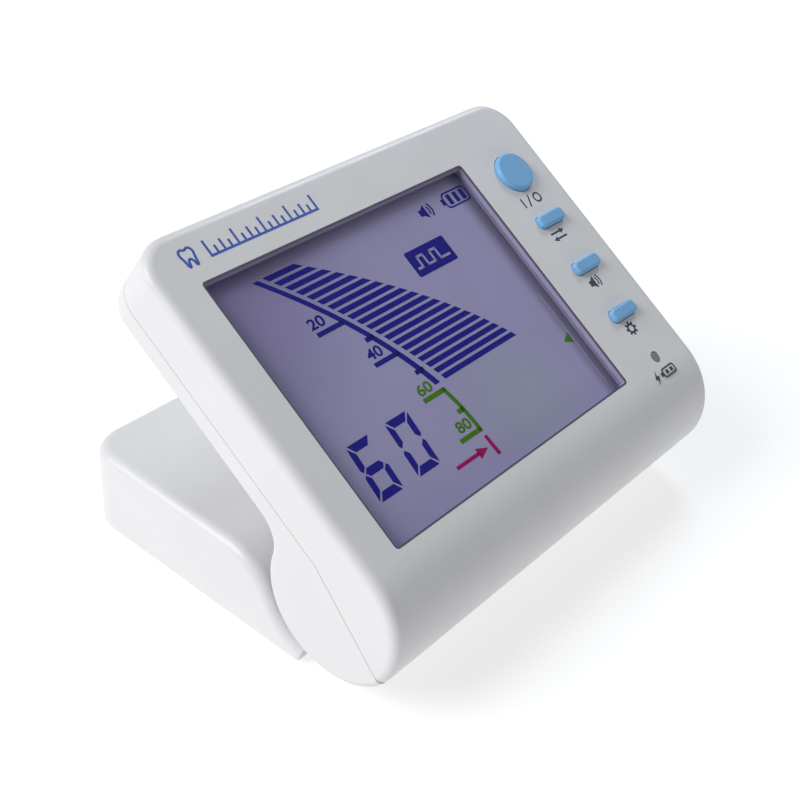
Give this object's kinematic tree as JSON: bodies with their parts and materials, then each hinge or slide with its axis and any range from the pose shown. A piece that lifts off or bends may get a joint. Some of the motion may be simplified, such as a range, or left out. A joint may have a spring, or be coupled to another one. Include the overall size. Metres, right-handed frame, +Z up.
{
  "type": "apex locator",
  "caption": "Dental root canal length meter: a flat display head with side keys that tilts on a friction hinge and folds down onto a wedge-shaped battery base.",
  "frame": {"origin": "middle of the footprint, on the surface the rubber feet stand on", "axes": "+Z up, +Y to the back, +X to the right as seen by the person who faces the display"},
  "size_m": [0.1208, 0.0964, 0.0804],
  "materials": {
    "white_abs": "semi-gloss moulded ABS",
    "clear_acrylic": "clear polished acrylic",
    "lcd_panel": "polarised display glass, lavender grey",
    "white_diffuser": "matte light guide",
    "black_plastic": "matte",
    "circuit_board": "solder mask",
    "led_lens": "diffused lens, unlit",
    "socket_plastic": "moulded socket body",
    "screw_steel": "nickel plated",
    "hinge_steel": "zinc plated",
    "lead_insulation": "soft PVC",
    "foot_rubber": "soft rubber",
    "battery_sleeve": "shrink sleeve",
    "ballast_steel": "plain steel",
    "blue_key": "satin moulded"
  },
  "bodies": {
    "base": {"base_shell": "white_abs", "base_plate": "white_abs", "rubber_feet": "foot_rubber", "base_screws": "screw_steel", "battery_door": "white_abs", "battery_door_screw": "screw_steel", "battery_pack": "battery_sleeve", "ballast_weights": "ballast_steel", "battery_lead": "lead_insulation", "hinge_arm_left": "hinge_steel", "hinge_arm_right": "hinge_steel", "arm_screws": "screw_steel"},
    "head": {"front_cover": "white_abs", "rear_cover": "white_abs", "display_window": "clear_acrylic", "lcd_glass": "lcd_panel", "lcd_backlight": "white_diffuser", "lcd_frame": "black_plastic", "main_board": "circuit_board", "board_chips": "black_plastic", "key_switches": "black_plastic", "charge_led": "led_lens", "buzzer": "black_plastic", "measuring_socket": "socket_plastic", "charge_socket": "socket_plastic", "socket_board": "circuit_board", "cover_screws": "screw_steel", "board_screws": "screw_steel", "bracket_screws": "screw_steel", "friction_washers": "hinge_steel", "hinge_nuts": "hinge_steel", "hinge_bracket_left": "hinge_steel", "hinge_bracket_right": "hinge_steel", "hinge_pin_left": "hinge_steel", "hinge_pin_right": "hinge_steel", "head_lead": "lead_insulation"},
    "on_off_button": {"on_off_key": "blue_key", "on_off_plunger": "black_plastic"},
    "mode_button": {"mode_key": "blue_key", "mode_plunger": "black_plastic"},
    "sound_button": {"sound_key": "blue_key", "sound_plunger": "black_plastic"},
    "set_button": {"set_key": "blue_key", "set_plunger": "black_plastic"}
  },
  "joints": [
    {"name": "head_tilt", "type": "hinge", "parent": "base", "child": "head", "pos_m": [0, -0.0304, 0.0215], "axis": [1, 0, 0], "range_deg": [-32.5, 26.5]},
    {"name": "on_off_press", "type": "slide", "parent": "head", "child": "on_off_button", "axis": [0, 0.5519, -0.8339], "range_m": [0, 0.0006], "stiffness_N_per_m": 400, "springref_m": -0.0005},
    {"name": "mode_press", "type": "slide", "parent": "head", "child": "mode_button", "axis": [0, 0.5519, -0.8339], "range_m": [0, 0.0006], "stiffness_N_per_m": 400, "springref_m": -0.0005},
    {"name": "sound_press", "type": "slide", "parent": "head", "child": "sound_button", "axis": [0, 0.5519, -0.8339], "range_m": [0, 0.0006], "stiffness_N_per_m": 400, "springref_m": -0.0005},
    {"name": "set_press", "type": "slide", "parent": "head", "child": "set_button", "axis": [0, 0.5519, -0.8339], "range_m": [0, 0.0006], "stiffness_N_per_m": 400, "springref_m": -0.0005}
  ]
}
